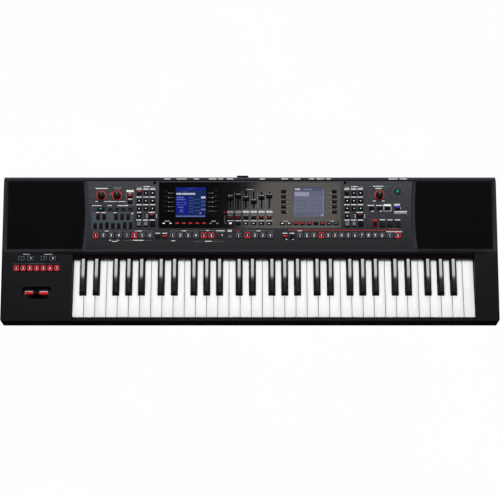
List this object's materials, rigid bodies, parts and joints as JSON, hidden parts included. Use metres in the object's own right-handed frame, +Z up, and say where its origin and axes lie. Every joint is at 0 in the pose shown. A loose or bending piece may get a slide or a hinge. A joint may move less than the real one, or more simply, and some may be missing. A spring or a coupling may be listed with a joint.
{
  "type": "arranger keyboard",
  "caption": "Portable arranger keyboard with piano-style keys, a sloping button panel with two square displays, slide controls, knobs, a bend lever and a loudspeaker at each end.",
  "frame": {"origin": "under the middle of the keyboard, on the surface that it stands on", "axes": "+X to the player's right, towards the high notes; +Y from the player to the back; +Z up"},
  "size_m": [1.047, 0.3144, 0.1014],
  "materials": {
    "case": "fine grain",
    "panel": "speckled metal look",
    "overlay": "polished",
    "display": "lit display",
    "grille": "perforated, black",
    "driver": "black",
    "cone": "black",
    "board": "circuit board",
    "pot": "pressed steel",
    "fitting": "black",
    "usb_shell": "plated",
    "keybed": "moulded",
    "felt": "felt",
    "spring": "spring steel",
    "foot": "matte",
    "lever": "red grips",
    "power": "green, lit",
    "button": "satin",
    "lit_button": "lit red",
    "white_key": "polished",
    "black_key": "polished",
    "control_cap": "black"
  },
  "bodies": {
    "case": {"lower_case": "case", "upper_case": "case", "end_blocks": "case", "front_rail": "case", "control_panel": "panel", "display_overlay": "overlay", "lcd_modules": "display", "speaker_grilles": "grille", "speaker_drivers": "driver", "speaker_cones": "cone", "circuit_boards": "board", "potentiometers": "pot", "music_rest_sockets": "fitting", "lever_housing": "fitting", "rear_panel": "case", "phone_jacks": "fitting", "data_sockets": "fitting", "usb_sockets": "usb_shell", "dc_inlet": "fitting", "cord_hook": "case", "keybed_chassis": "keybed", "key_felts": "felt", "key_springs": "spring", "contact_board": "board", "feet": "foot"},
    "keys_c": {"keys_c": "white_key"},
    "keys_d": {"keys_d": "white_key"},
    "keys_e": {"keys_e": "white_key"},
    "keys_f": {"keys_f": "white_key"},
    "keys_g": {"keys_g": "white_key"},
    "keys_a": {"keys_a": "white_key"},
    "keys_b": {"keys_b": "white_key"},
    "keys_c_sharp": {"keys_c_sharp": "black_key"},
    "keys_d_sharp": {"keys_d_sharp": "black_key"},
    "keys_f_sharp": {"keys_f_sharp": "black_key"},
    "keys_g_sharp": {"keys_g_sharp": "black_key"},
    "keys_a_sharp": {"keys_a_sharp": "black_key"},
    "volume_knob": {"volume_knob": "control_cap"},
    "balance_knob": {"balance_knob": "control_cap"},
    "mic_level_knob": {"mic_level_knob": "control_cap"},
    "slider_1": {"slider_1": "control_cap"},
    "slider_2": {"slider_2": "control_cap"},
    "slider_3": {"slider_3": "control_cap"},
    "slider_4": {"slider_4": "control_cap"},
    "slider_5": {"slider_5": "control_cap"},
    "slider_6": {"slider_6": "control_cap"},
    "lever_yoke": {"lever_yoke": "fitting"},
    "bend_lever": {"bend_lever": "lever"},
    "power_button": {"power_button": "power"},
    "style_buttons": {"style_buttons": "button"},
    "left_menu_buttons": {"left_menu_buttons": "button"},
    "right_menu_buttons": {"right_menu_buttons": "button"},
    "rhythm_row_buttons": {"rhythm_row_buttons": "button"},
    "tone_row_buttons": {"tone_row_buttons": "button"},
    "right_block_buttons": {"right_block_buttons": "button"},
    "left_display_buttons": {"left_display_buttons": "button"},
    "right_display_buttons": {"right_display_buttons": "button"},
    "mixer_buttons": {"mixer_buttons": "button"},
    "cheek_buttons": {"cheek_buttons": "button"},
    "lit_pads": {"lit_pads": "lit_button"}
  },
  "joints": [
    {"name": "keys_c_press", "type": "hinge", "parent": "case", "child": "keys_c", "pos_m": [0, 0.0328, 0.036], "axis": [1, 0, 0], "range_deg": [0, 3.15], "stiffness_Nm_per_rad": 8.88, "springref_deg": -4.64},
    {"name": "keys_d_press", "type": "hinge", "parent": "case", "child": "keys_d", "pos_m": [0, 0.0328, 0.036], "axis": [1, 0, 0], "range_deg": [0, 3.15], "stiffness_Nm_per_rad": 7.4, "springref_deg": -4.64},
    {"name": "keys_e_press", "type": "hinge", "parent": "case", "child": "keys_e", "pos_m": [0, 0.0328, 0.036], "axis": [1, 0, 0], "range_deg": [0, 3.15], "stiffness_Nm_per_rad": 7.4, "springref_deg": -4.64},
    {"name": "keys_f_press", "type": "hinge", "parent": "case", "child": "keys_f", "pos_m": [0, 0.0328, 0.036], "axis": [1, 0, 0], "range_deg": [0, 3.15], "stiffness_Nm_per_rad": 7.4, "springref_deg": -4.64},
    {"name": "keys_g_press", "type": "hinge", "parent": "case", "child": "keys_g", "pos_m": [0, 0.0328, 0.036], "axis": [1, 0, 0], "range_deg": [0, 3.15], "stiffness_Nm_per_rad": 7.4, "springref_deg": -4.64},
    {"name": "keys_a_press", "type": "hinge", "parent": "case", "child": "keys_a", "pos_m": [0, 0.0328, 0.036], "axis": [1, 0, 0], "range_deg": [0, 3.15], "stiffness_Nm_per_rad": 7.4, "springref_deg": -4.64},
    {"name": "keys_b_press", "type": "hinge", "parent": "case", "child": "keys_b", "pos_m": [0, 0.0328, 0.036], "axis": [1, 0, 0], "range_deg": [0, 3.15], "stiffness_Nm_per_rad": 7.4, "springref_deg": -4.64},
    {"name": "keys_c_sharp_press", "type": "hinge", "parent": "case", "child": "keys_c_sharp", "pos_m": [0, 0.0328, 0.036], "axis": [1, 0, 0], "range_deg": [0, 3.15], "stiffness_Nm_per_rad": 7.4, "springref_deg": -4.64},
    {"name": "keys_d_sharp_press", "type": "hinge", "parent": "case", "child": "keys_d_sharp", "pos_m": [0, 0.0328, 0.036], "axis": [1, 0, 0], "range_deg": [0, 3.15], "stiffness_Nm_per_rad": 7.4, "springref_deg": -4.64},
    {"name": "keys_f_sharp_press", "type": "hinge", "parent": "case", "child": "keys_f_sharp", "pos_m": [0, 0.0328, 0.036], "axis": [1, 0, 0], "range_deg": [0, 3.15], "stiffness_Nm_per_rad": 7.4, "springref_deg": -4.64},
    {"name": "keys_g_sharp_press", "type": "hinge", "parent": "case", "child": "keys_g_sharp", "pos_m": [0, 0.0328, 0.036], "axis": [1, 0, 0], "range_deg": [0, 3.15], "stiffness_Nm_per_rad": 7.4, "springref_deg": -4.64},
    {"name": "keys_a_sharp_press", "type": "hinge", "parent": "case", "child": "keys_a_sharp", "pos_m": [0, 0.0328, 0.036], "axis": [1, 0, 0], "range_deg": [0, 3.15], "stiffness_Nm_per_rad": 7.4, "springref_deg": -4.64},
    {"name": "volume_knob_turn", "type": "hinge", "parent": "case", "child": "volume_knob", "pos_m": [-0.315, 0.1068, 0.08676], "axis": [0, -0.1305, 0.9914], "range_deg": [-150, 150]},
    {"name": "balance_knob_turn", "type": "hinge", "parent": "case", "child": "balance_knob", "pos_m": [-0.2815, 0.1068, 0.08676], "axis": [0, -0.1305, 0.9914], "range_deg": [-150, 150]},
    {"name": "mic_level_knob_turn", "type": "hinge", "parent": "case", "child": "mic_level_knob", "pos_m": [0.2748, 0.1078, 0.08689], "axis": [0, -0.1305, 0.9914], "range_deg": [-150, 150]},
    {"name": "slider_1_slide", "type": "slide", "parent": "case", "child": "slider_1", "axis": [0, 0.9914, 0.1305], "range_m": [-0.0201, 0.0099]},
    {"name": "slider_2_slide", "type": "slide", "parent": "case", "child": "slider_2", "axis": [0, 0.9914, 0.1305], "range_m": [-0.0234, 0.0066]},
    {"name": "slider_3_slide", "type": "slide", "parent": "case", "child": "slider_3", "axis": [0, 0.9914, 0.1305], "range_m": [-0.018, 0.012]},
    {"name": "slider_4_slide", "type": "slide", "parent": "case", "child": "slider_4", "axis": [0, 0.9914, 0.1305], "range_m": [-0.0114, 0.0186]},
    {"name": "slider_5_slide", "type": "slide", "parent": "case", "child": "slider_5", "axis": [0, 0.9914, 0.1305], "range_m": [-0.0204, 0.0096]},
    {"name": "slider_6_slide", "type": "slide", "parent": "case", "child": "slider_6", "axis": [0, 0.9914, 0.1305], "range_m": [-0.0231, 0.0069]},
    {"name": "lever_bend", "type": "hinge", "parent": "case", "child": "lever_yoke", "pos_m": [-0.448, -0.07715, 0.04136], "axis": [0, -0.1305, 0.9914], "range_deg": [-12, 12], "stiffness_Nm_per_rad": 0.6},
    {"name": "lever_push", "type": "hinge", "parent": "lever_yoke", "child": "bend_lever", "pos_m": [-0.448, -0.09697, 0.03875], "axis": [-1, 0, 0], "range_deg": [0, 10], "stiffness_Nm_per_rad": 0.5, "springref_deg": -2.86},
    {"name": "power_button_press", "type": "slide", "parent": "case", "child": "power_button", "axis": [0, 0.1305, -0.9914], "range_m": [0, 0.0012], "stiffness_N_per_m": 150, "springref_m": -0.0006},
    {"name": "style_buttons_press", "type": "slide", "parent": "case", "child": "style_buttons", "axis": [0, 0.1305, -0.9914], "range_m": [0, 0.0012], "stiffness_N_per_m": 2850, "springref_m": -0.0006},
    {"name": "left_menu_buttons_press", "type": "slide", "parent": "case", "child": "left_menu_buttons", "axis": [0, 0.1305, -0.9914], "range_m": [0, 0.0012], "stiffness_N_per_m": 2100, "springref_m": -0.0006},
    {"name": "right_menu_buttons_press", "type": "slide", "parent": "case", "child": "right_menu_buttons", "axis": [0, 0.1305, -0.9914], "range_m": [0, 0.0012], "stiffness_N_per_m": 2100, "springref_m": -0.0006},
    {"name": "rhythm_row_buttons_press", "type": "slide", "parent": "case", "child": "rhythm_row_buttons", "axis": [0, 0.1305, -0.9914], "range_m": [0, 0.0012], "stiffness_N_per_m": 3450, "springref_m": -0.0006},
    {"name": "tone_row_buttons_press", "type": "slide", "parent": "case", "child": "tone_row_buttons", "axis": [0, 0.1305, -0.9914], "range_m": [0, 0.0012], "stiffness_N_per_m": 2550, "springref_m": -0.0006},
    {"name": "right_block_buttons_press", "type": "slide", "parent": "case", "child": "right_block_buttons", "axis": [0, 0.1305, -0.9914], "range_m": [0, 0.0012], "stiffness_N_per_m": 1200, "springref_m": -0.0006},
    {"name": "left_display_buttons_press", "type": "slide", "parent": "case", "child": "left_display_buttons", "axis": [0, 0.1305, -0.9914], "range_m": [0, 0.0012], "stiffness_N_per_m": 2850, "springref_m": -0.0006},
    {"name": "right_display_buttons_press", "type": "slide", "parent": "case", "child": "right_display_buttons", "axis": [0, 0.1305, -0.9914], "range_m": [0, 0.0012], "stiffness_N_per_m": 2850, "springref_m": -0.0006},
    {"name": "mixer_buttons_press", "type": "slide", "parent": "case", "child": "mixer_buttons", "axis": [0, 0.1305, -0.9914], "range_m": [0, 0.0012], "stiffness_N_per_m": 1800, "springref_m": -0.0006},
    {"name": "cheek_buttons_press", "type": "slide", "parent": "case", "child": "cheek_buttons", "axis": [0, 0.1305, -0.9914], "range_m": [0, 0.0012], "stiffness_N_per_m": 600, "springref_m": -0.0006},
    {"name": "lit_pads_press", "type": "slide", "parent": "case", "child": "lit_pads", "axis": [0, 0.1305, -0.9914], "range_m": [0, 0.0012], "stiffness_N_per_m": 1050, "springref_m": -0.0006}
  ]
}
